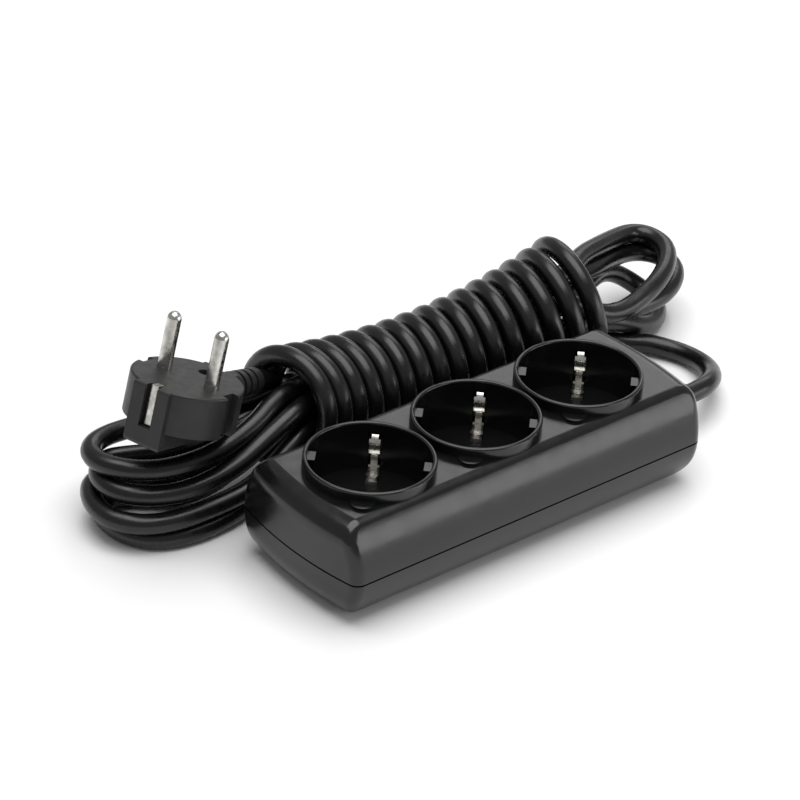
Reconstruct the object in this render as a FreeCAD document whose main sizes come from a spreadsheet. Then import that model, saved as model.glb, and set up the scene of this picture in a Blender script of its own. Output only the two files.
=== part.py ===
import FreeCAD, Part

import math
import os
import re

import Sketcher
from FreeCAD import Placement, Rotation, Vector

# Desk power strip: three earthed sockets in a row, with a wound mains lead and its plug behind.
# Millimetres, +Z up, the strip stands on z = 0, +X towards the end where the lead comes out,
# and -Y is the long side that faces the user.

SIZES = (
    # name, value, what it is
    ("body_length", 153.5, "strip, end to end on its centre line"),
    ("bow_radius", 130, "plan radius of the ends"),
    ("half_width", 29.3, "half the width at the seam"),
    ("top_half_width", 22.3, "half the width of the flat top"),
    ("base_half_width", 20, "half the width of the flat underside"),
    ("flank_radius", 29.8, "upper flank, convex"),
    ("belly_radius", 20.2, "lower flank, convex"),
    ("top_height", 36.3, "flat top above the table"),
    ("seam_height", 17, "line between the two shells"),
    ("seam_gap", 0.6, "shadow gap along that line"),
    ("shell_wall", 2, "wall of both shells"),
    ("top_end_fillet", 7, "ends of the upper shell into the top"),
    ("top_corner", 4, "upright corners of the upper shell"),
    ("base_end_fillet", 12, "ends of the lower shell into its underside"),
    ("base_corner", 4, "upright corners of the lower shell"),
    ("socket_pitch", 44.3, "socket to socket"),
    ("socket_shift", -1.5, "middle socket from the middle of the strip"),
    ("rim_height", 40, "rim of the sockets above the table"),
    ("cup_radius", 21.5, "outside of a socket cup"),
    ("recess_radius", 19.9, "inside of a socket cup"),
    ("recess_depth", 17.5, "depth of a recess"),
    ("recess_floor", 2, "thickness of the floor of a recess"),
    ("lip_radius", 0.75, "rounding of the rim"),
    ("boss_radius", 4, "half-round boss behind an earth clip"),
    ("boss_offset", 21.8, "boss centre from the socket centre"),
    ("boss_drop", 2.8, "top of a boss below the rim"),
    ("notch_width", 4.4, "notch that an earth clip lies in"),
    ("notch_reach", 22.8, "back of that notch from the socket centre"),
    ("rib_width", 5, "guide rib in a recess"),
    ("rib_inner", 17.3, "face of a guide rib from the socket centre"),
    ("rib_drop", 1.8, "top of a guide rib below the rim"),
    ("pin_pitch", 19, "pin to pin"),
    ("pin_radius", 2.4, "plug pin"),
    ("pin_length", 19, "plug pin beyond the face"),
    ("pin_hole_radius", 2.8, "pin hole in the floor of a recess"),
    ("strip_gauge", 0.6, "sheet metal of an earth clip"),
    ("bar_gauge", 0.8, "sheet metal of a busbar"),
    ("clip_width", 3.6, "foot of an earth clip"),
    ("tongue_width", 2.2, "tongue of an earth clip"),
    ("rivet_offset", 14, "earth rivet from the socket centre"),
    ("rivet_radius", 1.25, "shank of an earth rivet"),
    ("rivet_head_radius", 2.1, "head of an earth rivet"),
    ("sleeve_radius", 3.3, "outside of a contact sleeve"),
    ("sleeve_bottom", 3.3, "lower end of a contact sleeve"),
    ("sleeve_top", 18.8, "upper end of a contact sleeve"),
    ("bar_end", 58, "supply end of the busbars"),
    ("post_x", 64, "screw posts from the middle, along the strip"),
    ("post_y", 17, "screw posts from the centre line"),
    ("post_radius", 3.2, "screw post"),
    ("post_split", 13, "height where the two posts of a pair meet"),
    ("screw_radius", 1.5, "housing screw"),
    ("screw_head_radius", 2.8, "its head"),
    ("screw_head_height", 2, "its head"),
    ("screw_length", 16, "its shank"),
    ("cord_radius", 3.45, "mains lead"),
    ("wire_radius", 1.1, "one of its three wires"),
    ("inlet_height", 12, "axis of the lead where it leaves the strip"),
    ("boot_length", 18.25, "bend relief outside the end wall"),
    ("boot_radius", 4.9, "bend relief at the wall"),
    ("boot_tip_radius", 4.1, "bend relief at its tip"),
    ("plug_radius", 19, "plug, round body"),
    ("plug_depth", 14, "plug, round body"),
    ("plug_full_depth", 20.5, "plug, with its two blocks"),
    ("plug_block", 14, "width of a block"),
    ("plug_tilt", 16, "how far the plug leans over, in degrees"),
    ("plug_turn", 14.7, "which way its lead points, in degrees from +X"),
    ("plug_lead_drop", 7.5, "axis of its lead below the face"),
    ("plug_relief_radius", 5.3, "bend relief of the plug at its root"),
    ("plug_relief_tip", 4.3, "that relief at its tip"),
    ("plug_strip_width", 2.6, "side earth contact of the plug"),
    ("plug_strip_end", 13.4, "lower end of that contact below the face"),
    ("plug_strip_inset", 2.5, "back of that contact inside the plug's radius"),
    ("plug_pin_anchor", 12, "plug pin inside the moulding"),
)
SOCKETS = (("left", -1), ("middle", 0), ("right", 1))
CLIP_SIDES = (("rear", 45), ("front", 225))
PIN_ANGLE = -45

doc = FreeCAD.newDocument("desk_power_strip")
sheet = doc.addObject("Spreadsheet::Sheet", "Sizes")
for row, (name, number, meaning) in enumerate(SIZES, start=1):
    sheet.set(f"A{row}", name)
    sheet.set(f"B{row}", str(number))
    sheet.set(f"C{row}", meaning)
    sheet.setAlias(f"B{row}", name)
doc.recompute()

nodes = []


# ---------------------------------------------------------------- small tools

def bound(text):
    """An expression as the document reads it: every size comes from the sheet."""
    return re.sub(r"\b([a-z]+(?:_[a-z]+)+)\b", r"Sizes.\1", text)


def value(text):
    return float(sheet.evalExpression(bound(text)))


def bind(thing, **sizes):
    for name, text in sizes.items():
        thing.setExpression(name, bound(text))


def new_node(kind, name):
    thing = doc.addObject(kind, name)
    thing.Label = name
    nodes.append(thing)
    return thing


def new_sketch(body, name, role, offset="0"):
    """A sketch on one of the body's own origin planes, moved out along the plane's normal."""
    plane = next(f for f in body.Origin.OriginFeatures if f.Role == role)
    sketch = body.newObject("Sketcher::SketchObject", f"{body.Name}_{name}")
    sketch.AttachmentSupport = (plane, [""])
    sketch.MapMode = "FlatFace"
    sketch.setExpression("AttachmentOffset.Base.z", bound(offset))
    return sketch


def fix_point(sketch, edge, point, x, y):
    for kind, text in (("DistanceX", x), ("DistanceY", y)):
        index = sketch.addConstraint(Sketcher.Constraint(kind, -1, 1, edge, point, value(text)))
        sketch.setExpression(f"Constraints[{index}]", bound(text))


def add_circle(sketch, x, y, radius):
    middle = Vector(value(x), value(y), 0)
    edge = sketch.addGeometry(Part.Circle(middle, Vector(0, 0, 1), value(radius)))
    index = sketch.addConstraint(Sketcher.Constraint("Radius", edge, value(radius)))
    sketch.setExpression(f"Constraints[{index}]", bound(radius))
    fix_point(sketch, edge, 3, x, y)


def outward_arc(start, end, radius):
    """Arc from start to end that stands out to the right of the way it goes."""
    chord = end - start
    out = Vector(chord.y, -chord.x, 0).normalize()
    rise = radius - math.sqrt(max(radius ** 2 - chord.Length ** 2 / 4, 0))
    return Part.Arc(start, (start + end) / 2 + out * rise, end)


def add_outline(sketch, corners):
    """Closed anticlockwise outline. A corner is (x, y), with a radius if an arc leaves it, and
    the word inward if that arc is hollow."""
    places = [Vector(value(c[0]), value(c[1]), 0) for c in corners]
    edges = []
    for index, corner in enumerate(corners):
        start = places[index]
        end = places[(index + 1) % len(places)]
        first, last = 1, 2
        if "inward" in corner:
            # A sketch keeps its arcs anticlockwise, so a hollow one is drawn from its far end.
            line = outward_arc(end, start, value(corner[2]))
            first, last = 2, 1
        elif len(corner) > 2:
            line = outward_arc(start, end, value(corner[2]))
        else:
            line = Part.LineSegment(start, end)
        edges.append((sketch.addGeometry(line), first, last))
    for index, (edge, first, last) in enumerate(edges):
        corner = corners[index]
        following, following_first, _ = edges[(index + 1) % len(edges)]
        sketch.addConstraint(Sketcher.Constraint("Coincident", edge, last, following, following_first))
        fix_point(sketch, edge, first, corner[0], corner[1])
        if len(corner) > 2:
            at = sketch.addConstraint(Sketcher.Constraint("Radius", edge, value(corner[2])))
            sketch.setExpression(f"Constraints[{at}]", bound(corner[2]))


def add_rectangle(sketch, x_low, x_high, y_low, y_high):
    add_outline(sketch, ((x_low, y_low), (x_high, y_low), (x_high, y_high), (x_low, y_high)))


def turned(across, out, degrees):
    """Expressions for a point given along and across a direction, as x and y."""
    c = math.cos(math.radians(degrees))
    s = math.sin(math.radians(degrees))
    return f"({across}) * {-s:.6f} + ({out}) * {c:.6f}", f"({across}) * {c:.6f} + ({out}) * {s:.6f}"


def add_turned_rectangle(sketch, x, inner, outer, width, degrees):
    """Rectangle from inner to outer along a direction, about a socket's centre at x."""
    corners = []
    for across, out in ((f"-({width}) / 2", inner), (f"-({width}) / 2", outer),
                        (f"({width}) / 2", outer), (f"({width}) / 2", inner)):
        dx, dy = turned(across, out, degrees)
        corners.append((f"{x} + {dx}", dy))
    add_outline(sketch, corners)


def extrude(kind, sketch, length, symmetric=False, backward=False):
    body = sketch.getParentGeoFeatureGroup()
    feature = body.newObject(f"PartDesign::{kind}", f"{sketch.Name}_{kind.lower()}")
    feature.Profile = sketch
    feature.SideType = "Symmetric" if symmetric else "One side"
    feature.Reversed = backward
    feature.setExpression("Length", bound(length))
    return feature


def revolve(sketch, axis):
    body = sketch.getParentGeoFeatureGroup()
    feature = body.newObject("PartDesign::Revolution", f"{sketch.Name}_revolution")
    feature.Profile = sketch
    feature.ReferenceAxis = (sketch, [axis])
    feature.Angle = 360
    return feature


def edges_where(feature, test):
    doc.recompute()
    return [f"Edge{n}" for n, edge in enumerate(feature.Shape.Edges, start=1) if test(edge)]


def fillet(feature, test, radius):
    body = feature.getParentGeoFeatureGroup()
    names = edges_where(feature, test)
    rounding = body.newObject("PartDesign::Fillet", f"{feature.Name}_fillet")
    rounding.Base = (feature, names)
    rounding.setExpression("Radius", bound(radius))
    return rounding


def hollow(feature, face_height, thickness):
    """Thin wall all round, open at the flat face at the given height."""
    doc.recompute()
    names = [f"Face{n}" for n, face in enumerate(feature.Shape.Faces, start=1)
             if abs(face.CenterOfMass.z - face_height) < 0.01]
    body = feature.getParentGeoFeatureGroup()
    skin = body.newObject("PartDesign::Thickness", f"{feature.Name}_hollow")
    skin.Base = (feature, names)
    skin.Reversed = True
    skin.setExpression("Value", bound(thickness))
    return skin


def socket_x(place):
    return f"socket_shift + {place} * socket_pitch"


def pin_offset(side):
    """Where one pin of a pair stands from the socket's centre, as x and y."""
    return turned("0", f"{side} * pin_pitch / 2", PIN_ANGLE)


def rod(name, radius, length, base, direction=(0, 0, 1)):
    """Part cylinder with its sizes and place bound to the sheet."""
    cylinder = doc.addObject("Part::Cylinder", name)
    bind(cylinder, Radius=radius, Height=length)
    for axis, text in zip("xyz", base):
        cylinder.setExpression(f"Placement.Base.{axis}", bound(text))
    cylinder.Placement.Rotation = Rotation(Vector(0, 0, 1), Vector(*direction))
    return cylinder


def block(name, low, size):
    box = doc.addObject("Part::Box", name)
    bind(box, Length=size[0], Width=size[1], Height=size[2])
    for axis, text in zip("xyz", low):
        box.setExpression(f"Placement.Base.{axis}", bound(text))
    return box


def joined(name, shapes):
    union = doc.addObject("Part::MultiFuse", name)
    union.Shapes = shapes
    return union


def without(name, base, tool):
    cut = doc.addObject("Part::Cut", name)
    cut.Base = base
    cut.Tool = tool
    return cut


def group(name, shapes):
    """One node that holds several equal, separate solids."""
    compound = new_node("Part::Compound", name)
    compound.Links = shapes
    return compound


# ---------------------------------------------------------------- the two shells

def bowed_plan(sketch, half_width):
    """Plan of the strip: straight long sides and bowed ends."""
    corner = f"body_length / 2 - bow_radius + sqrt(bow_radius ^ 2 - ({half_width}) ^ 2)"
    add_outline(sketch, (
        (f"-({corner})", f"-({half_width})"),
        (corner, f"-({half_width})", "bow_radius"),
        (corner, half_width),
        (f"-({corner})", half_width, "bow_radius"),
    ))


def trim_to_plan(body):
    """Cut away what lies outside the bowed ends."""
    sketch = new_sketch(body, "plan", "XY_Plane", "-5")
    add_rectangle(sketch, "-body_length", "body_length", "-body_length / 2", "body_length / 2")
    bowed_plan(sketch, "half_width + 0.2")
    return extrude("Pocket", sketch, "rim_height + 20", backward=True)


def is_upright_corner(edge):
    box = edge.BoundBox
    return box.ZLength > 8 and abs(box.Center.x) > value("body_length / 2 - 12")


def at_height(height):
    """Picks the edges of the two ends at one height."""
    def test(edge):
        box = edge.BoundBox
        level = box.ZLength < 0.01 and abs(box.ZMin - height) < 0.01
        return level and abs(box.Center.x) > value("body_length / 2 - 12")
    return test


def make_top_cover():
    body = new_node("PartDesign::Body", "top_cover")
    low = "seam_height + seam_gap / 2"
    section = new_sketch(body, "section", "YZ_Plane")
    add_outline(section, (
        ("-half_width", low),
        ("half_width", low, "flank_radius"),
        ("top_half_width", "top_height"),
        ("-top_half_width", "top_height", "flank_radius"),
    ))
    extrude("Pad", section, "body_length + 4", symmetric=True)
    shell = trim_to_plan(body)
    shell = fillet(shell, at_height(value("top_height")), "top_end_fillet")
    shell = fillet(shell, is_upright_corner, "top_corner")
    hollow(shell, value(low), "shell_wall")

    cups = new_sketch(body, "cups", "XY_Plane", "rim_height - recess_depth - recess_floor")
    bosses = new_sketch(body, "bosses", "XY_Plane", "rim_height - recess_depth - recess_floor")
    for _, place in SOCKETS:
        add_circle(cups, socket_x(place), "0", "cup_radius")
        for _, degrees in CLIP_SIDES:
            dx, dy = turned("0", "boss_offset", degrees)
            add_circle(bosses, f"{socket_x(place)} + {dx}", dy, "boss_radius")
    extrude("Pad", cups, "recess_depth + recess_floor")
    extrude("Pad", bosses, "recess_depth + recess_floor - boss_drop")

    recesses = new_sketch(body, "recesses", "XY_Plane", "rim_height")
    for _, place in SOCKETS:
        add_circle(recesses, socket_x(place), "0", "recess_radius")
    cups_open = extrude("Pocket", recesses, "recess_depth")
    fillet(cups_open, is_rim, "lip_radius")

    notches = new_sketch(body, "notches", "XY_Plane", "rim_height - boss_drop - 1")
    for _, place in SOCKETS:
        for _, degrees in CLIP_SIDES:
            add_turned_rectangle(notches, socket_x(place), "recess_radius - 2", "notch_reach",
                                 "notch_width", degrees)
    extrude("Pocket", notches, "recess_depth - boss_drop - 1")

    ribs = new_sketch(body, "ribs", "XY_Plane", "rim_height - recess_depth - recess_floor / 2")
    for _, place in SOCKETS:
        for degrees in (PIN_ANGLE, PIN_ANGLE + 180):
            add_turned_rectangle(ribs, socket_x(place), "rib_inner", "recess_radius + 0.8",
                                 "rib_width", degrees)
    extrude("Pad", ribs, "recess_depth + recess_floor / 2 - rib_drop")

    holes = new_sketch(body, "holes", "XY_Plane", "rim_height - recess_depth + 1")
    for _, place in SOCKETS:
        for side in (-1, 1):
            dx, dy = pin_offset(side)
            add_circle(holes, f"{socket_x(place)} + {dx}", dy, "pin_hole_radius")
        for _, degrees in CLIP_SIDES:
            dx, dy = turned("0", "rivet_offset", degrees)
            add_circle(holes, f"{socket_x(place)} + {dx}", dy, "rivet_radius + 0.05")
    extrude("Pocket", holes, "recess_floor + 2")

    posts = new_sketch(body, "posts", "XY_Plane", "post_split + 0.3")
    pilots = new_sketch(body, "pilots", "XY_Plane", "post_split")
    for x, y in post_places():
        add_circle(posts, x, y, "post_radius")
        add_circle(pilots, x, y, "screw_radius + 0.05")
    extrude("Pad", posts, "top_height - post_split - 1.2")
    extrude("Pocket", pilots, "screw_length - 4", backward=True)


def is_rim(edge):
    return abs(edge.BoundBox.ZMin - value("rim_height")) < 0.01


def post_places():
    for x in ("-post_x", "post_x"):
        for y in ("-post_y", "post_y"):
            yield x, y


def make_bottom_cover():
    body = new_node("PartDesign::Body", "bottom_cover")
    top = "seam_height - seam_gap / 2"
    section = new_sketch(body, "section", "YZ_Plane")
    add_outline(section, (
        ("-base_half_width", "0"),
        ("base_half_width", "0", "belly_radius"),
        ("half_width", top),
        ("-half_width", top, "belly_radius"),
    ))
    extrude("Pad", section, "body_length + 4", symmetric=True)
    shell = trim_to_plan(body)
    shell = fillet(shell, at_height(0), "base_end_fillet")
    shell = fillet(shell, is_upright_corner, "base_corner")
    hollow(shell, value(top), "shell_wall")

    posts = new_sketch(body, "posts", "XY_Plane", "shell_wall / 2")
    heads = new_sketch(body, "heads", "XY_Plane", "-1")
    shanks = new_sketch(body, "shanks", "XY_Plane", "-1")
    for x, y in post_places():
        add_circle(posts, x, y, "post_radius + 1.2")
        add_circle(heads, x, y, "screw_head_radius + 0.3")
        add_circle(shanks, x, y, "screw_radius + 0.25")
    extrude("Pad", posts, "post_split - shell_wall / 2")
    extrude("Pocket", heads, "screw_head_height + 3", backward=True)
    extrude("Pocket", shanks, "post_split + 2", backward=True)

    rails = new_sketch(body, "rails", "XY_Plane", "shell_wall / 2")
    _, pin_y = pin_offset(1)
    for side in (-1, 1):
        add_rectangle(rails, "-bar_end", "bar_end - 6", f"{side} * ({pin_y}) - 1.5",
                      f"{side} * ({pin_y}) + 1.5")
    extrude("Pad", rails, "sleeve_bottom - shell_wall / 2 - 0.1")

    saddle = new_sketch(body, "saddle", "XY_Plane", "shell_wall / 2")
    add_rectangle(saddle, "bar_end + 2", "bar_end + 8", "-8.5", "8.5")
    extrude("Pad", saddle, "inlet_height - cord_radius - shell_wall / 2 - 0.1")

    inlet = new_sketch(body, "inlet", "YZ_Plane", "bar_end + 10")
    add_outline(inlet, (
        ("-boot_tip_radius - 0.1", "inlet_height", "boot_tip_radius + 0.1"),
        ("0", "inlet_height - boot_tip_radius - 0.1", "boot_tip_radius + 0.1"),
        ("boot_tip_radius + 0.1", "inlet_height"),
        ("boot_tip_radius + 0.1", "seam_height + 1"),
        ("-boot_tip_radius - 0.1", "seam_height + 1"),
    ))
    extrude("Pocket", inlet, "20", backward=True)


# ---------------------------------------------------------------- what carries the current

def make_busbar(name, side):
    """Brass strip on edge with a sprung sleeve for one pin of every socket."""
    body = new_node("PartDesign::Body", name)
    dx, dy = pin_offset(side)
    sleeves = new_sketch(body, "sleeves", "XY_Plane", "sleeve_bottom")
    slits = new_sketch(body, "slits", "XY_Plane", "sleeve_top")
    for _, place in SOCKETS:
        middle = f"{socket_x(place)} + {dx}"
        add_circle(sleeves, middle, dy, "sleeve_radius")
        add_circle(sleeves, middle, dy, "sleeve_radius - bar_gauge")
        add_rectangle(slits, f"{middle} - 0.6", f"{middle} + 0.6",
                      f"{dy} - sleeve_radius / 2 * (1 - {side})", f"{dy} + sleeve_radius / 2 * (1 + {side})")
    extrude("Pad", sleeves, "sleeve_top - sleeve_bottom")
    bar = new_sketch(body, "bar", "XY_Plane", "sleeve_bottom + 3")
    near = f"{dy} - {side} * (sleeve_radius - bar_gauge / 2) - bar_gauge / 2"
    add_rectangle(bar, f"{socket_x(-1)} + {dx} - 1", "bar_end", near, f"{near} + bar_gauge")
    extrude("Pad", bar, "6")
    extrude("Pocket", slits, "9")


def make_earth_busbar():
    """Flat strip under the recess floors, with an arm to both rivets of every socket."""
    body = new_node("PartDesign::Body", "earth_busbar")
    level = "rim_height - recess_depth - recess_floor - bar_gauge"
    bar = new_sketch(body, "bar", "XY_Plane", level)
    add_rectangle(bar, f"{socket_x(-1)} + 5", "bar_end", "11.6", "15.4")
    extrude("Pad", bar, "bar_gauge")
    arms = new_sketch(body, "arms", "XY_Plane", level)
    holes = new_sketch(body, "holes", "XY_Plane", f"{level} + 2")
    for _, place in SOCKETS:
        add_turned_rectangle(arms, socket_x(place), "-rivet_offset - 3", "rivet_offset + 4", "5", 45)
        for _, degrees in CLIP_SIDES:
            dx, dy = turned("0", "rivet_offset", degrees)
            add_circle(holes, f"{socket_x(place)} + {dx}", dy, "rivet_radius + 0.05")
    extrude("Pad", arms, "bar_gauge")
    extrude("Pocket", holes, "4")


def make_earth_clip(name, place, degrees):
    """Sprung earth contact: a foot on the floor of the recess and a bowed tongue up its wall."""
    body = new_node("PartDesign::Body", name)
    floor = "rim_height - recess_depth"
    outline = new_sketch(body, "outline", "XZ_Plane")
    add_outline(outline, (
        ("rivet_offset - 3", floor),
        ("recess_radius + 1.1", floor),
        ("recess_radius + 1.1", f"{floor} + 5", "5", "inward"),
        ("recess_radius + 0.2", f"{floor} + 13.2"),
        ("recess_radius + 0.2 - strip_gauge", f"{floor} + 13.3", "4.9"),
        ("recess_radius + 1.1 - strip_gauge", f"{floor} + 4.9"),
        ("recess_radius + 1.1 - strip_gauge", f"{floor} + strip_gauge"),
        ("rivet_offset - 3", f"{floor} + strip_gauge"),
    ))
    extrude("Pad", outline, "clip_width", symmetric=True)
    sides = new_sketch(body, "sides", "YZ_Plane", "recess_radius - 1.5")
    for low, high in (("-clip_width", "-tongue_width / 2"), ("tongue_width / 2", "clip_width")):
        add_rectangle(sides, low, high, f"{floor} + 1", f"{floor} + 15")
    extrude("Pocket", sides, "4", backward=True)
    hole = new_sketch(body, "hole", "XY_Plane", f"{floor} + 2")
    add_circle(hole, "rivet_offset", "0", "rivet_radius + 0.05")
    extrude("Pocket", hole, "4")
    body.Placement.Rotation = Rotation(Vector(0, 0, 1), degrees)
    body.setExpression("Placement.Base.x", bound(socket_x(place)))


def make_rivets():
    """A rivet through each clip foot, the recess floor and the earth busbar."""
    floor = "rim_height - recess_depth"
    under = f"{floor} - recess_floor - bar_gauge"
    rivets = []
    for label, place in SOCKETS:
        for side, degrees in CLIP_SIDES:
            dx, dy = turned("0", "rivet_offset", degrees)
            x = f"{socket_x(place)} + {dx}"
            name = f"rivet_{label}_{side}"
            shank = rod(f"{name}_shank", "rivet_radius", "recess_floor + bar_gauge + strip_gauge",
                        (x, dy, under))
            head = rod(f"{name}_head", "rivet_head_radius", "0.9", (x, dy, f"{floor} + strip_gauge"))
            tail = rod(f"{name}_tail", "rivet_head_radius", "0.7", (x, dy, f"{under} - 0.7"))
            rivets.append(joined(name, [shank, head, tail]))
    group("earth_rivets", rivets)


# ---------------------------------------------------------------- fasteners and the inlet

def screw(name, x, y, head_z, radius, head_radius, head_height, length, up):
    """Pan-head screw with a cross recess, pointing up or down from the underside of its head."""
    if up:
        head_low, shank_low, slot_low = f"{head_z} - {head_height}", head_z, f"{head_z} - {head_height}"
    else:
        head_low, shank_low = head_z, f"{head_z} - {length}"
        slot_low = f"{head_z} + {head_height} - 1"
    head = rod(f"{name}_head", head_radius, head_height, (x, y, head_low))
    shank = rod(f"{name}_shank", radius, length, (x, y, shank_low))
    along = block(f"{name}_slot_x", (f"{x} - 1.5", f"{y} - 0.35", slot_low), ("3", "0.7", "1"))
    across = block(f"{name}_slot_y", (f"{x} - 0.35", f"{y} - 1.5", slot_low), ("0.7", "3", "1"))
    return without(name, joined(f"{name}_blank", [head, shank]), joined(f"{name}_cross", [along, across]))


def make_housing_screws():
    screws = [
        screw(f"housing_screw_{n}", x, y, "screw_head_height + 2", "screw_radius", "screw_head_radius",
              "screw_head_height", "screw_length", True)
        for n, (x, y) in enumerate(post_places(), start=1)
    ]
    group("housing_screws", screws)


def make_cord_clamp():
    """Bridge over the lead, screwed down on both sides of it."""
    low = "inlet_height + 0.6"
    bridge = block("clamp_bridge", ("bar_end + 2.5", "-8.5", low), ("5", "17", "cord_radius + 2"))
    tunnel = rod("clamp_tunnel", "cord_radius + 0.05", "9", ("bar_end", "0", "inlet_height"), (1, 0, 0))
    bores = [rod(f"clamp_bore_{n}", "1.25", "12", ("bar_end + 5", y, "inlet_height"))
             for n, y in enumerate(("-6.3", "6.3"), start=1)]
    clamp = without("cord_clamp", bridge, joined("clamp_openings", [tunnel, *bores]))
    nodes.append(clamp)
    top = f"{low} + cord_radius + 2"
    group("clamp_screws", [
        screw(f"clamp_screw_{n}", "bar_end + 5", y, top, "1.2", "2.1", "1.5", "9", False)
        for n, y in enumerate(("-6.3", "6.3"), start=1)
    ])


def make_bend_relief():
    """Tapered boot with ring grooves, a neck in the end wall and a collar behind it."""
    body = new_node("PartDesign::Body", "cord_bend_relief")
    wall = "body_length / 2"
    section = new_sketch(body, "section", "XZ_Plane")
    bore = "inlet_height + cord_radius + 0.05"
    add_outline(section, (
        (f"{wall} - 5.2", bore),
        (f"{wall} + 0.2 + boot_length", bore),
        (f"{wall} + 0.2 + boot_length", "inlet_height + boot_tip_radius"),
        (f"{wall} + 1.4", "inlet_height + boot_radius"),
        (f"{wall} + 0.2", "inlet_height + boot_radius"),
        (f"{wall} + 0.2", "inlet_height + boot_tip_radius"),
        (f"{wall} - 2.5", "inlet_height + boot_tip_radius"),
        (f"{wall} - 2.5", "inlet_height + boot_radius + 0.5"),
        (f"{wall} - 5.2", "inlet_height + boot_radius + 0.5"),
    ))
    turn_about(section, "inlet_height", "Revolution")
    rings = new_sketch(body, "rings", "XZ_Plane")
    for n in range(5):
        x = f"{wall} + 4 + {n} * 3.1"
        bottom = f"inlet_height + boot_tip_radius - 0.35 + {4 - n} * 0.13"
        add_rectangle(rings, x, f"{x} + 1.1", bottom, "inlet_height + boot_radius + 1")
    turn_about(rings, "inlet_height", "Groove")
    key = new_sketch(body, "key", "YZ_Plane", f"{wall} - 2.6")
    add_rectangle(key, "-boot_tip_radius", "boot_tip_radius", "inlet_height + cord_radius + 0.6",
                  "seam_height - seam_gap / 2")
    extrude("Pad", key, "3")


def turn_about(sketch, height, kind):
    """Revolve a sketch on the XZ plane about a line along X at the given height."""
    body = sketch.getParentGeoFeatureGroup()
    level = value(height)
    line = sketch.addGeometry(Part.LineSegment(Vector(0, level, 0), Vector(10, level, 0)), True)
    sketch.addConstraint(Sketcher.Constraint("Horizontal", line))
    fix_point(sketch, line, 1, "0", height)
    feature = body.newObject(f"PartDesign::{kind}", f"{sketch.Name}_{kind.lower()}")
    feature.Profile = sketch
    feature.ReferenceAxis = (sketch, ["Axis0"])
    feature.Angle = 360
    return feature


# ---------------------------------------------------------------- leads

def swept(points, radius):
    """Round bar along straight runs joined by the largest tangent arcs, with its arc radii."""
    places = [Vector(*p) for p in points]
    edges = []
    radii = []
    start = places[0]
    for before, corner, after in zip(places, places[1:], places[2:]):
        back = before - corner
        onward = after - corner
        turn = math.pi - back.getAngle(onward)
        reach = 0.45 * min(back.Length, onward.Length)
        first = corner + back.normalize() * reach
        last = corner + onward.normalize() * reach
        arc_radius = reach / math.tan(turn / 2)
        middle = corner + (back + onward).normalize() * (arc_radius / math.cos(turn / 2) - arc_radius)
        edges.append(Part.LineSegment(start, first).toShape())
        edges.append(Part.Arc(first, middle, last).toShape())
        radii.append(arc_radius)
        start = last
    edges.append(Part.LineSegment(start, places[-1]).toShape())
    path = Part.Wire(edges)
    section = Part.Wire(Part.makeCircle(radius, places[0], places[1] - places[0]))
    return path, path.makePipeShell([section], True, True), radii


def make_tube(name, points, radius):
    path, shape, radii = swept(points, value(radius))
    expected = math.pi * value(radius) ** 2 * path.Length
    print(f"{name}: length {path.Length:.1f}, arc radii {[round(r, 1) for r in radii]}, "
          f"volume {shape.Volume / expected:.3f} of section times length")
    tube = new_node("Part::Feature", name)
    tube.Shape = shape
    tube.Placement = Placement()


WIRES = {
    "live_wire": ((60, -1.6, 12.4), (58.4, -3, 11.8), (56.9, -5.8, 10.6), (55.4, -8.1, 9.6),
                  (53.6, -8.2, 9.5)),
    "neutral_wire": ((60, 1.6, 12.4), (58.4, 3, 11.8), (56.9, 5.8, 10.6), (55.4, 8.1, 9.6),
                     (53.6, 8.2, 9.5)),
    "earth_wire": ((60, 0, 14.2), (58.6, 1.6, 15), (57.2, 5.6, 16.6), (56, 10.6, 18),
                   (55.4, 13.8, 18.4)),
}
# The lead leaves the bend relief, sinks to the table and turns back under the hank.
LEAD = ((95.2, 0, 12), (100.4, 0.1, 12.1), (105.6, 1.3, 11.8), (110.8, 4.4, 10.4), (116, 9, 8.2),
        (120.6, 15.2, 6), (123.2, 22.6, 4.4), (122.8, 30.4, 3.7), (119.8, 37, 3.8), (116, 42, 4.4))
# From the plug's bend relief to the hollow of the first turn.
TAIL = ((-43.8, 62.1, 35.6), (-40.4, 62.9, 34.3), (-37, 63.3, 32.7), (-33.6, 63.2, 30.6))


def make_jacket():
    jacket = rod("cord_jacket", "cord_radius", "body_length / 2 + 0.2 + boot_length - bar_end - 2",
                 ("bar_end + 2", "0", "inlet_height"), (1, 0, 0))
    nodes.append(jacket)


# Stations of the winding: x, height of its axis, outer radius. It is waisted, and flares at its ends.
WINDING = ((-38, 24.8, 21.1), (0, 21.8, 19.9), (32, 20.3, 19.4), (65, 21.6, 20.8), (91.5, 24.2, 23.6))
WINDING_Y = 56
# Loops at both ends: middle of the bend, its outer and inner radius, and the end inside the winding.
LOOPS = (("left_loops", -85.5, 60, 26.5, 12, -30), ("right_loops", 127, 61, 22, 9, 82))
LOOPS_HEIGHT = 27.4


def make_hank():
    """Outer shape of the wound lead: the winding and the loops that stand out of both ends."""
    body = new_node("PartDesign::Body", "cord_hank")
    rings = []
    for n, (x, z, radius) in enumerate(WINDING):
        ring = new_sketch(body, f"ring_{n}", "YZ_Plane", str(x))
        add_circle(ring, str(WINDING_Y), str(z), str(radius))
        rings.append(ring)
    winding = body.newObject("PartDesign::AdditiveLoft", "cord_hank_winding")
    winding.Profile = rings[0]
    winding.Sections = rings[1:]
    for name, x, y, outer, inner, end in LOOPS:
        loops = new_sketch(body, name, "XY_Plane", "0.3")
        add_slot(loops, x, end, y, outer)
        add_slot(loops, x, end + (6 if end > 0 else -6), y, inner)
        extrude("Pad", loops, str(LOOPS_HEIGHT))


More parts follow.
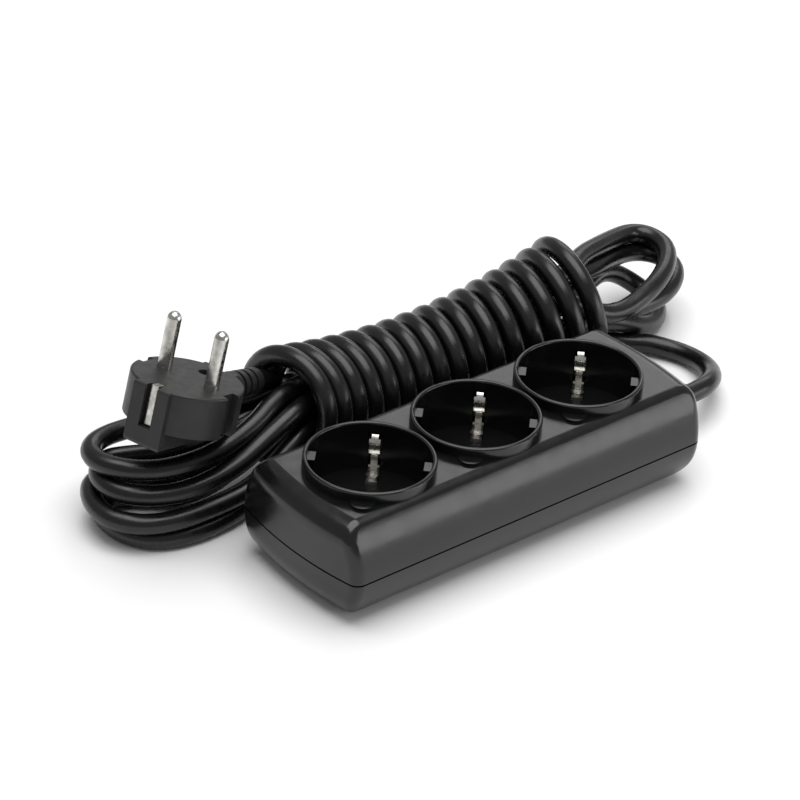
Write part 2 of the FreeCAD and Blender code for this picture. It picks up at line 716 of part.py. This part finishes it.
def add_slot(sketch, bend_x, end_x, y, radius):
    """Outline with a half-round end about bend_x and a square end at end_x."""
    low, high, bend, end = str(y - radius), str(y + radius), str(bend_x), str(end_x)
    if bend_x < end_x:
        tip = str(bend_x - radius)
        corners = ((end, low), (end, high), (bend, high, str(radius)), (tip, str(y), str(radius)),
                   (bend, low))
    else:
        tip = str(bend_x + radius)
        corners = ((end, low), (bend, low, str(radius)), (tip, str(y), str(radius)), (bend, high),
                   (end, high))
    add_outline(sketch, corners)


# ---------------------------------------------------------------- the plug

def plug_placement():
    """The plug lies on its lead, pins up and leaning over. Its own frame has the face at z = 0."""
    lean = Rotation(Vector(0, 1, 0), value("plug_tilt"))
    heading = Rotation(Vector(0, 0, 1), value("plug_turn"))
    return Placement(Vector(-78.1, 53.1, 53.6), heading * lean)


def round_outline_at(height):
    """Picks the level edges of the moulding at one height."""
    def test(edge):
        box = edge.BoundBox
        return abs(box.ZMax - height) < 0.01 and box.ZLength < 0.01
    return test


def make_plug_body():
    body = new_node("PartDesign::Body", "plug_body")
    disc = new_sketch(body, "disc", "XY_Plane", "-plug_depth")
    add_circle(disc, "0", "0", "plug_radius - 0.5")
    extrude("Pad", disc, "plug_depth")
    bar = new_sketch(body, "bar", "XY_Plane", "-plug_full_depth")
    add_rectangle(bar, "-plug_radius", "plug_radius", "-plug_block / 2", "plug_block / 2")
    moulding = extrude("Pad", bar, "plug_full_depth")
    for depth, radius in (("plug_full_depth", "1.6"), ("0", "0.8")):
        moulding = fillet(moulding, round_outline_at(-value(depth)), radius)

    relief = new_sketch(body, "relief", "XZ_Plane")
    axis = "-plug_lead_drop"
    add_outline(relief, (
        ("plug_radius - 4", axis),
        ("plug_radius + 20", axis),
        ("plug_radius + 20", f"{axis} + plug_relief_tip"),
        ("plug_radius + 2", f"{axis} + plug_relief_radius"),
        ("plug_radius - 4", f"{axis} + plug_relief_radius"),
    ))
    turn_about(relief, axis, "Revolution")
    rings = new_sketch(body, "rings", "XZ_Plane")
    for n in range(4):
        x = f"plug_radius + 4.5 + {n} * 3.6"
        add_rectangle(rings, x, f"{x} + 1.3", f"{axis} + plug_relief_tip - 0.5",
                      f"{axis} + plug_relief_radius + 1")
    turn_about(rings, axis, "Groove")

    grooves = new_sketch(body, "guide_grooves", "XY_Plane", "1")
    for degrees in (90, 270):
        add_turned_rectangle(grooves, "0", "plug_radius - 3", "plug_radius + 1", "5.6", degrees)
    extrude("Pocket", grooves, "plug_full_depth + 2")

    channels = new_sketch(body, "channels", "XY_Plane", "1")
    for degrees in (0, 180):
        add_turned_rectangle(channels, "0", "plug_radius - plug_strip_inset - 0.1", "plug_radius + 1",
                             "4.6", degrees)
    extrude("Pocket", channels, "plug_strip_end + 1.6")
    seats = new_sketch(body, "seats", "XY_Plane", "1")
    for degrees in (0, 180):
        add_turned_rectangle(seats, "0", "plug_radius - 5.4", "plug_radius + 1",
                             "plug_strip_width + 0.6", degrees)
    extrude("Pocket", seats, "1 + strip_gauge")

    openings = new_sketch(body, "openings", "XY_Plane", "1")
    for side in (-1, 1):
        add_circle(openings, "0", f"{side} * pin_pitch / 2", "pin_radius + 0.05")
    extrude("Pocket", openings, "plug_pin_anchor + 1")
    earth = new_sketch(body, "earth_hole", "XY_Plane", "1")
    add_circle(earth, "10", "0", "2.6")
    extrude("Pocket", earth, "15")
    body.Placement = plug_placement()


def make_plug_pin(name, side):
    """Round pin with a domed tip, held in the moulding."""
    body = new_node("PartDesign::Body", name)
    section = new_sketch(body, "section", "XZ_Plane")
    add_outline(section, (
        ("0", "-plug_pin_anchor"),
        ("pin_radius", "-plug_pin_anchor"),
        ("pin_radius", "pin_length - 2.2", "2.6"),
        ("0.8", "pin_length"),
        ("0", "pin_length"),
    ))
    revolve(section, "V_Axis")
    place = plug_placement()
    place.Base = place.multVec(Vector(0, side * value("pin_pitch") / 2, 0))
    body.Placement = place


def make_plug_earth_strip(name, degrees):
    """Side earth contact: down the channel, and folded over the edge of the face."""
    body = new_node("PartDesign::Body", name)
    back = "plug_radius - plug_strip_inset"
    outline = new_sketch(body, "outline", "XZ_Plane")
    add_outline(outline, (
        ("plug_radius - 5", "-strip_gauge"),
        (back, "-strip_gauge"),
        (back, "-plug_strip_end"),
        (f"{back} + strip_gauge", "-plug_strip_end"),
        (f"{back} + strip_gauge", "0"),
        ("plug_radius - 5", "0"),
    ))
    extrude("Pad", outline, "plug_strip_width", symmetric=True)
    body.Placement = plug_placement() * Placement(Vector(), Rotation(Vector(0, 0, 1), degrees))


# ---------------------------------------------------------------- assembly

def make_all():
    make_top_cover()
    make_bottom_cover()
    make_busbar("live_busbar", 1)
    make_busbar("neutral_busbar", -1)
    make_earth_busbar()
    for label, place in SOCKETS:
        for side, degrees in CLIP_SIDES:
            make_earth_clip(f"earth_clip_{label}_{side}", place, degrees)
    make_rivets()
    make_housing_screws()
    make_cord_clamp()
    make_bend_relief()
    make_jacket()
    for name, points in WIRES.items():
        make_tube(name, points, "wire_radius")
    make_tube("cord_lead", LEAD, "cord_radius")
    make_hank()
    make_tube("cord_tail", TAIL, "cord_radius")
    make_plug_body()
    make_plug_pin("plug_pin_live", -1)
    make_plug_pin("plug_pin_neutral", 1)
    make_plug_earth_strip("plug_earth_strip_front", 180)
    make_plug_earth_strip("plug_earth_strip_rear", 0)
    doc.recompute()


def check_document():
    """Stop if anything failed to build, or if a cut removed nothing or a pad added nothing."""
    for thing in doc.Objects:
        if {"Invalid", "Error"} & set(thing.State):
            raise RuntimeError(f"{thing.Name} did not build: {thing.State}")
    for body in (thing for thing in nodes if thing.TypeId == "PartDesign::Body"):
        before = 0
        for feature in (f for f in body.Group if f.isDerivedFrom("PartDesign::Feature")):
            after = feature.Shape.Volume
            if abs(after - before) < 0.01:
                raise RuntimeError(f"{feature.Name} changed nothing")
            if feature.isDerivedFrom("PartDesign::Pocket") and after > before:
                raise RuntimeError(f"{feature.Name} is a cut that added material")
            before = after
    for node in nodes:
        shape = node.Shape
        if shape.isNull() or not shape.isValid() or not shape.Solids:
            raise RuntimeError(f"{node.Label} has no valid solid")


def write_parts():
    os.makedirs("parts", exist_ok=True)
    for node in nodes:
        node.Shape.exportStep(f"parts/{node.Label}.step")
        box = node.Shape.BoundBox
        print(f"{node.Label}: {len(node.Shape.Solids)} solid, {node.Shape.Volume:.0f} mm3, "
              f"x {box.XMin:.1f} {box.XMax:.1f}, y {box.YMin:.1f} {box.YMax:.1f}, "
              f"z {box.ZMin:.1f} {box.ZMax:.1f}")


make_all()
check_document()
write_parts()
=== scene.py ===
import math

import bpy
from mathutils import Matrix, Vector


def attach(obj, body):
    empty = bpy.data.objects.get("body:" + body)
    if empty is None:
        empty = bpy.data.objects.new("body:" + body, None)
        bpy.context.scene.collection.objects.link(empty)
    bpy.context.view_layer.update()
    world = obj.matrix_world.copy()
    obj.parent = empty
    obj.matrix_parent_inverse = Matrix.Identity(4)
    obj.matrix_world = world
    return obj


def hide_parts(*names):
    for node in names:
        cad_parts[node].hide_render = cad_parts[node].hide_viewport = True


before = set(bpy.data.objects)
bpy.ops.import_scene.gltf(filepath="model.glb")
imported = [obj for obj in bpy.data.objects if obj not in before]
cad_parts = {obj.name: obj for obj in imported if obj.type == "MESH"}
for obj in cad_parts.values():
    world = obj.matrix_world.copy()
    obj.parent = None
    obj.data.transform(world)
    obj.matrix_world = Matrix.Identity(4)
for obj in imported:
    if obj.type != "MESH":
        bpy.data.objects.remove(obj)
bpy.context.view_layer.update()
scene = bpy.context.scene

# ---------------------------------------------------------------- camera, in metres

AZIMUTH = math.radians(-41.506)   # 0 looks along +Y
ELEVATION = math.radians(32.209)
ROLL = math.radians(3.612)
DISTANCE = 1.30501
TARGET = Vector((0.020993, 0.062927, 0.0041))
LENS = 172.462                    # millimetres, as is the sensor
SENSOR = 36
NEAREST = 0.05
FURTHEST = 50


def make_camera():
    """The scene's camera, DISTANCE away from TARGET and turned by ROLL about its own line of sight."""
    back = Vector((math.sin(AZIMUTH) * math.cos(ELEVATION), -math.cos(AZIMUTH) * math.cos(ELEVATION),
                   math.sin(ELEVATION)))
    right = Vector((math.cos(AZIMUTH), math.sin(AZIMUTH), 0))
    up = back.cross(right)
    x_axis = math.cos(ROLL) * right + math.sin(ROLL) * up
    y_axis = math.cos(ROLL) * up - math.sin(ROLL) * right
    place = Matrix((x_axis, y_axis, back)).transposed().to_4x4()
    place.translation = TARGET + back * DISTANCE
    data = bpy.data.cameras.new("camera")
    data.lens = LENS
    data.sensor_width = SENSOR
    data.clip_start = NEAREST
    data.clip_end = FURTHEST
    camera = bpy.data.objects.new("camera", data)
    camera.matrix_world = place
    scene.collection.objects.link(camera)
    scene.camera = camera


make_camera()

# ---------------------------------------------------------------- the lead's route, in millimetres
#
# The lead leaves the strip and turns into the hank behind it. Eight runs go to and fro along the
# hank, with loops between them at both ends. The runs change places on the way, and some of them pass
# through each other there. After the last run the lead is wound round the bundle, from the right end
# to the left one, and then it rises to the plug.

LEAD = (  # from the strip's end round to the hank
    (95.2, 0, 12), (100.4, 0.1, 12.1), (105.6, 1.3, 11.8), (110.8, 4.4, 10.4), (116, 9, 8.2),
    (120.6, 15.2, 6), (123.2, 22.6, 4.4), (122.8, 30.4, 3.7), (119.8, 37, 3.8), (116, 42, 4.4),
)
INTO_HANK = ((109.5, 46.8, 4.2), (102.5, 52, 6), (94, 56.5, 11))

# The bundle's axis: one y, and the height that it has at each x.
AXIS_Y = 56
AXIS = ((-38, 24.8), (0, 21.8), (32, 20.3), (65, 21.6), (91.5, 24.2))

# Where a run has its points: each x, and how far from the axis the outer runs stand there.
RUN_REACH = ((-30, 8.4), (0, 7.6), (28, 7.6), (56, 9.2), (82, 12.2))

# Each run's angle about the axis at its left and its right end, in degrees; None is on the axis.
RUN_ANGLES = {
    1: (244.3, 295.7),
    2: (295.7, None),
    3: (192.9, 244.3),
    4: (None, 38.6),
    5: (141.4, 192.9),
    6: (-12.9, 90),
    7: (90, 141.4),
    8: (38.6, -12.9),
}

# The loop that follows each odd run, at the left end, from the front round to the back.
LEFT = {
    1: ((-48, 47, 10), (-60, 41.6, 5), (-76, 39.6, 3.6), (-88, 40.4, 3.5), (-97, 44, 3.5),
        (-102.5, 51.5, 3.5), (-103.3, 62, 3.5), (-99, 71, 3.5), (-91, 71, 3.5), (-82, 64, 3.5),
        (-72, 58, 3.8), (-59, 56.5, 7), (-44, 60, 13)),
    3: ((-46, 43.5, 17), (-60, 39.8, 12), (-76, 40, 10.4), (-91, 40.6, 10.3), (-101.5, 45, 10.3),
        (-107.8, 54, 10.3), (-106.4, 65.5, 10.3), (-100, 74.8, 10.3), (-91.5, 74.3, 10.3),
        (-84.3, 66.3, 10.3), (-76, 60.8, 10.3), (-65, 58.6, 10.5), (-53, 60, 13), (-42, 61, 20.5)),
    5: ((-40, 46, 29.5), (-52, 44, 25.5), (-66, 42.2, 20.5), (-82, 43.4, 17.4), (-95, 48, 17),
        (-103, 57, 17), (-102.4, 68, 17), (-95, 75, 17), (-86.5, 72, 17), (-77.5, 66.8, 17),
        (-67, 64.6, 17), (-56, 64.5, 17.3), (-46, 65, 18.5)),
    7: ((-43, 53, 31), (-54, 49, 28), (-71, 46.4, 25.4), (-87, 48.8, 24.3), (-97.5, 55.5, 23.9),
        (-103.5, 65.5, 23.8), (-101, 75, 23), (-92.5, 79.3, 22.5), (-80, 79.3, 21.8),
        (-64, 76.3, 21.7), (-50, 71.5, 23), (-40, 66.8, 24)),
}

# The loop that follows each even run, at the right end. The first three go from the back round to the
# front, and the last one turns back, low down behind the bundle, into the first turn of the winding.
RIGHT = {
    2: ((97, 61, 20.5), (108, 66, 20), (119.5, 72.5, 17), (129, 75, 13), (135.5, 73.5, 8.5),
        (139, 67.5, 5), (137.5, 59.5, 3.6), (131, 53, 3.5), (121.5, 48.8, 6), (110, 48, 11.8),
        (98.5, 49.5, 16)),
    4: ((97, 64, 27), (109, 66, 24.5), (122, 72, 21.3), (133, 75.8, 18.7), (141.5, 75.3, 17.4),
        (146.3, 69.5, 17), (145.5, 61, 17), (139, 53.5, 16.8), (129, 48.8, 16), (116, 47.8, 15.8),
        (101, 49, 18)),
    6: ((93, 60, 32.6), (104, 67, 31.6), (117, 71.5, 29.3), (129, 75.8, 26.5), (138, 77.8, 24.8),
        (143.6, 74, 24.2), (144, 65.5, 24), (138.5, 57.5, 24), (129, 50, 23.8), (116, 44.8, 22.6),
        (102, 43.2, 20.2), (92, 46, 23)),
    8: ((93.5, 67.5, 18.5), (103, 68, 13), (110.5, 71, 9.5), (113.5, 77.5, 7.5), (109.5, 83.5, 7),
        (102.5, 83, 9), (97.5, 78.5, 14)),
}

# The winding's turns at its left end, its middle and its right end. Each row has the turn's x, the
# height of its centre, its radius, and how far its back and its top lean over towards +X.
TURNS = 16
STEPS = 12          # points in one turn
TURN_ANGLE = 60     # degrees past the back, where the first and the last turn have their row's values
TURN_LEFT = (-33.4, 25, 17.7, -4.0, 1.6)
TURN_MIDDLE = (27.8, 20.2, 15.9, 1.9, -2.2)
TURN_RIGHT = (91, 24, 20.2, 2.6, -5.8)

# From the last turn up to its top, and on to the plug's bend relief.
UP_FROM_TURN = ((-36.2, 71.4, 21), (-32.2, 69.2, 27.6), (-33, 64.9, 31))
TAIL = ((-36.8, 63.4, 32.6), (-40.4, 62.9, 34.3), (-43.8, 62.1, 35.6))


def height_at(table, x):
    """The height that a table of (x, height) rows gives at x, straight from row to row."""
    if x <= table[0][0]:
        return table[0][1]
    for (x0, low), (x1, high) in zip(table, table[1:]):
        if x <= x1:
            return low + (high - low) * (x - x0) / (x1 - x0)
    return table[-1][1]


def off_axis(angle, reach):
    """How far a run stands from the bundle's axis, in y and z."""
    if angle is None:
        return 0, 0
    turned = math.radians(angle)
    return reach * math.cos(turned), reach * math.sin(turned)


def run(number, leftward):
    """One run's points. It turns about the axis, or goes straight across if one of its ends is on it."""
    left, right = RUN_ANGLES[number]
    start, end = RUN_REACH[0][0], RUN_REACH[-1][0]
    points = []
    for x, reach in RUN_REACH:
        share = (x - start) / (end - start)
        if left is None or right is None:
            left_y, left_z = off_axis(left, reach)
            right_y, right_z = off_axis(right, reach)
            y = left_y + (right_y - left_y) * share
            z = left_z + (right_z - left_z) * share
        else:
            y, z = off_axis(left + (right - left) * share, reach)
        points.append((x, AXIS_Y + y, height_at(AXIS, x) + z))
    return points[::-1] if leftward else points


def bowed(first, middle, last, share):
    """Each number on the parabola through its values at share 0, 0.5 and 1."""
    return tuple(
        a * (2 * share - 1) * (share - 1) + b * 4 * share * (1 - share) + c * share * (2 * share - 1)
        for a, b, c in zip(first, middle, last)
    )


def winding():
    """The points of the turns, each from the back over the top to the front and round below."""
    wider = 1 / (1 - (1 - math.cos(2 * math.pi / STEPS)) / 4)  # a spline of order 3 runs inside its points
    points = []
    for n in range(TURNS * STEPS - 1):
        degrees = 360 * n / STEPS
        angle = math.radians(degrees)
        turn = (degrees - TURN_ANGLE) / 360
        share = 1 - turn / (TURNS - 1)
        x, height, radius, lean_y, lean_z = bowed(TURN_LEFT, TURN_MIDDLE, TURN_RIGHT, share)
        points.append((x + lean_y * math.cos(angle) + lean_z * math.sin(angle),
                       AXIS_Y + wider * radius * math.cos(angle),
                       height + wider * radius * math.sin(angle)))
    return points


def route():
    """The whole lead, from the strip to the plug."""
    points = [*LEAD, *INTO_HANK]
    for number in LEFT:
        points += run(number, leftward=True)
        points += LEFT[number]
        points += run(number + 1, leftward=False)
        points += RIGHT[number + 1]
    return [*points, *winding(), *UP_FROM_TURN, *TAIL]


# ---------------------------------------------------------------- the lead, in metres

CORD_DIAMETER = 0.0069
POINT_RADIUS = 0.001       # scales the bevel, and counts in the curve's own box, so it is kept small
STEPS_TO_A_POINT = 6
ROUNDNESS = 7
MILLIMETRES = 1000         # in a metre


def make_cord(points):
    """A round cord on one smooth line."""
    data = bpy.data.curves.new("mains_lead", "CURVE")
    data.dimensions = "3D"
    data.resolution_u = STEPS_TO_A_POINT
    data.bevel_depth = CORD_DIAMETER / 2 / POINT_RADIUS
    data.bevel_resolution = ROUNDNESS
    data.use_fill_caps = True
    spline = data.splines.new("NURBS")
    spline.points.add(len(points) - 1)
    for point, (x, y, z) in zip(spline.points, points):
        point.co = (x / MILLIMETRES, y / MILLIMETRES, z / MILLIMETRES, 1)
        point.radius = POINT_RADIUS
    spline.order_u = 3
    spline.use_endpoint_u = True
    cord = bpy.data.objects.new("mains_lead", data)
    scene.collection.objects.link(cord)
    return cord


lead = make_cord(route())
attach(lead, "root")
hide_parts("cord_lead", "cord_hank", "cord_tail")

# ---------------------------------------------------------------- materials

SPREAD = (0.35, 0.65)      # the stretch of a noise's values that a material's range is laid over


def new_material(name):
    material = bpy.data.materials.new(name)
    material.use_nodes = True
    return material, material.node_tree.nodes, material.node_tree.links


def noise(nodes, links, scale, detail, stretch=None):
    """Noise laid out in the object's own metres, or drawn out along an axis that stretch makes small."""
    place = nodes.new("ShaderNodeTexCoord")
    texture = nodes.new("ShaderNodeTexNoise")
    texture.inputs["Scale"].default_value = scale
    texture.inputs["Detail"].default_value = detail
    source = place.outputs["Object"]
    if stretch:
        mapping = nodes.new("ShaderNodeMapping")
        mapping.inputs["Scale"].default_value = stretch
        links.new(source, mapping.inputs["Vector"])
        source = mapping.outputs["Vector"]
    links.new(source, texture.inputs["Vector"])
    return texture.outputs["Fac"]


def spread_value(nodes, links, value, low, high):
    """A noise turned into numbers from low to high."""
    node = nodes.new("ShaderNodeMapRange")
    node.inputs["From Min"].default_value, node.inputs["From Max"].default_value = SPREAD
    node.inputs["To Min"].default_value = low
    node.inputs["To Max"].default_value = high
    links.new(value, node.inputs["Value"])
    return node.outputs["Result"]


def spread_colour(nodes, links, value, dark, light):
    """A noise turned into colours from dark to light."""
    node = nodes.new("ShaderNodeValToRGB")
    for stop, position, colour in zip(node.color_ramp.elements, SPREAD, (dark, light)):
        stop.position = position
        stop.color = (*colour, 1)
    links.new(value, node.inputs["Fac"])
    return node.outputs["Color"]


def bump(nodes, links, height, strength, depth, under=None):
    """A bump of this depth in metres, on top of another one if under is given."""
    node = nodes.new("ShaderNodeBump")
    node.inputs["Strength"].default_value = strength
    node.inputs["Distance"].default_value = depth
    links.new(height, node.inputs["Height"])
    if under:
        links.new(under, node.inputs["Normal"])
    return node.outputs["Normal"]


def moulded(name, dark, light, rough, grain, wave=None, cloud=60, ior=1.5):
    """Moulded plastic, with faint clouds in its colour and gloss.

    grain is its fine grain and wave its slow unevenness, each as (noise scale, depth in metres).
    """
    material, nodes, links = new_material(name)
    shader = nodes["Principled BSDF"]
    shader.inputs["IOR"].default_value = ior
    clouds = noise(nodes, links, scale=cloud, detail=4)
    links.new(spread_colour(nodes, links, clouds, dark, light), shader.inputs["Base Color"])
    gloss = noise(nodes, links, scale=cloud * 3, detail=5)
    links.new(spread_value(nodes, links, gloss, *rough), shader.inputs["Roughness"])
    slow = None
    if wave:
        scale, depth = wave
        slow = bump(nodes, links, noise(nodes, links, scale, detail=2), strength=0.3, depth=depth)
    scale, depth = grain
    fine = bump(nodes, links, noise(nodes, links, scale, detail=3), strength=0.4, depth=depth, under=slow)
    links.new(fine, shader.inputs["Normal"])
    return material


def metal(name, dark, light, rough, streaks):
    """Plated or bare metal, slightly stained, with streaks along the axis that streaks makes small."""
    material, nodes, links = new_material(name)
    shader = nodes["Principled BSDF"]
    shader.inputs["Metallic"].default_value = 1
    stains = noise(nodes, links, scale=400, detail=4)
    links.new(spread_colour(nodes, links, stains, dark, light), shader.inputs["Base Color"])
    gloss = noise(nodes, links, scale=700, detail=4)
    links.new(spread_value(nodes, links, gloss, *rough), shader.inputs["Roughness"])
    lines = noise(nodes, links, scale=900, detail=3, stretch=streaks)
    links.new(bump(nodes, links, lines, strength=0.25, depth=0.00002), shader.inputs["Normal"])
    return material


PLASTICS = {
    "black_plastic": dict(dark=(0.003, 0.0031, 0.0033), light=(0.0046, 0.0048, 0.005), rough=(0.16, 0.24),
                          grain=(2600, 0.00002), wave=(90, 0.00006), cloud=55, ior=1.52),
    "cord_pvc": dict(dark=(0.003, 0.003, 0.0032), light=(0.0046, 0.0046, 0.0049), rough=(0.24, 0.33),
                     grain=(1500, 0.00004), wave=(260, 0.00012), cloud=90),
    "plug_pvc": dict(dark=(0.009, 0.009, 0.009), light=(0.014, 0.014, 0.0137), rough=(0.42, 0.52),
                     grain=(1700, 0.00006), wave=(220, 0.00008), cloud=110),
    "clamp_plastic": dict(dark=(0.02, 0.02, 0.02), light=(0.03, 0.03, 0.03), rough=(0.4, 0.5),
                          grain=(1800, 0.00004)),
    "brown_pvc": dict(dark=(0.06, 0.022, 0.01), light=(0.09, 0.035, 0.016), rough=(0.35, 0.45),
                      grain=(1500, 0.00003)),
    "blue_pvc": dict(dark=(0.01, 0.05, 0.25), light=(0.015, 0.07, 0.34), rough=(0.35, 0.45),
                     grain=(1500, 0.00003)),
    "earth_pvc": dict(dark=(0.35, 0.4, 0.02), light=(0.5, 0.55, 0.03), rough=(0.35, 0.45),
                      grain=(1500, 0.00003)),
}
METALS = {
    "nickel": dict(dark=(0.5, 0.49, 0.45), light=(0.72, 0.71, 0.68), rough=(0.16, 0.3),
                   streaks=(1, 1, 0.06)),
    "brass": dict(dark=(0.55, 0.4, 0.16), light=(0.75, 0.57, 0.25), rough=(0.25, 0.4),
                  streaks=(0.06, 1, 1)),
    "zinc_steel": dict(dark=(0.4, 0.41, 0.42), light=(0.58, 0.6, 0.62), rough=(0.25, 0.42),
                       streaks=(1, 1, 0.3)),
}
MATERIALS = {
    **{name: moulded(name, **looks) for name, looks in PLASTICS.items()},
    **{name: metal(name, **looks) for name, looks in METALS.items()},
}

EARTH_CLIPS = [f"earth_clip_{socket}_{side}"
               for socket in ("left", "middle", "right") for side in ("rear", "front")]
NODES = {
    "black_plastic": ("top_cover", "bottom_cover"),
    "cord_pvc": ("cord_bend_relief", "cord_jacket", "cord_lead", "cord_hank", "cord_tail"),
    "plug_pvc": ("plug_body",),
    "clamp_plastic": ("cord_clamp",),
    "brown_pvc": ("live_wire",),
    "blue_pvc": ("neutral_wire",),
    "earth_pvc": ("earth_wire",),
    "brass": ("live_busbar", "neutral_busbar", "earth_busbar"),
    "zinc_steel": ("housing_screws", "clamp_screws"),
    "nickel": (*EARTH_CLIPS, "earth_rivets", "plug_pin_live", "plug_pin_neutral", "plug_earth_strip_front",
               "plug_earth_strip_rear"),
}

for slot, names in NODES.items():
    for name in names:
        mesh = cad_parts[name].data
        mesh.materials.clear()
        mesh.materials.append(MATERIALS[slot])
lead.data.materials.append(MATERIALS["cord_pvc"])

# ---------------------------------------------------------------- floor and light, in metres and watts

FLOOR_REACH = 4            # from the middle to each side
FLOOR_COLOUR = (0.93, 0.93, 0.93, 1)
WORLD_STRENGTH = 0.34
SOFTBOXES = {
    "softbox_top": dict(place=(0.05, 0.05, 1.7), aim=(0.05, 0.03, 0.02), width=1.7, power=30),
    "softbox_front": dict(place=(0.72, -1.0, 0.27), aim=(0.02, -0.02, 0.03), width=1.0, height=0.46,
                          power=4.2),
    "softbox_rear": dict(place=(1.25, 0.95, 0.9), aim=(0.05, 0.03, 0.03), width=0.9, height=0.7,
                         power=3.2),
}


def make_floor():
    """A plain pale floor with a faint paper grain."""
    reach = FLOOR_REACH
    mesh = bpy.data.meshes.new("floor")
    mesh.from_pydata([(-reach, -reach, 0), (reach, -reach, 0), (reach, reach, 0), (-reach, reach, 0)], [],
                     [(0, 1, 2, 3)])
    floor = bpy.data.objects.new("floor", mesh)
    material, nodes, links = new_material("floor_paper")
    shader = nodes["Principled BSDF"]
    shader.inputs["Roughness"].default_value = 0.6
    shader.inputs["Specular IOR Level"].default_value = 0.2
    shader.inputs["Base Color"].default_value = FLOOR_COLOUR
    grain = noise(nodes, links, scale=900, detail=3)
    links.new(bump(nodes, links, grain, strength=0.1, depth=0.00002), shader.inputs["Normal"])
    mesh.materials.append(material)
    scene.collection.objects.link(floor)


def make_softbox(name, place, aim, width, power, height=None):
    """An area light pointed at aim, square unless it has a height."""
    data = bpy.data.lights.new(name, "AREA")
    data.energy = power
    data.size = width
    if height:
        data.shape = "RECTANGLE"
        data.size_y = height
    light = bpy.data.objects.new(name, data)
    light.location = place
    light.rotation_euler = (Vector(aim) - Vector(place)).to_track_quat("-Z", "Y").to_euler()
    scene.collection.objects.link(light)


def make_world():
    """Even white light from all round."""
    world = bpy.data.worlds.new("studio")
    world.use_nodes = True
    background = world.node_tree.nodes["Background"]
    background.inputs["Color"].default_value = (1, 1, 1, 1)
    background.inputs["Strength"].default_value = WORLD_STRENGTH
    scene.world = world


make_floor()
make_world()
for name, setup in SOFTBOXES.items():
    make_softbox(name, **setup)
scene.view_settings.view_transform = "Standard"
scene.view_settings.look = "None"

# ---------------------------------------------------------------- the view layer brought up to date


bpy.context.view_layer.update()
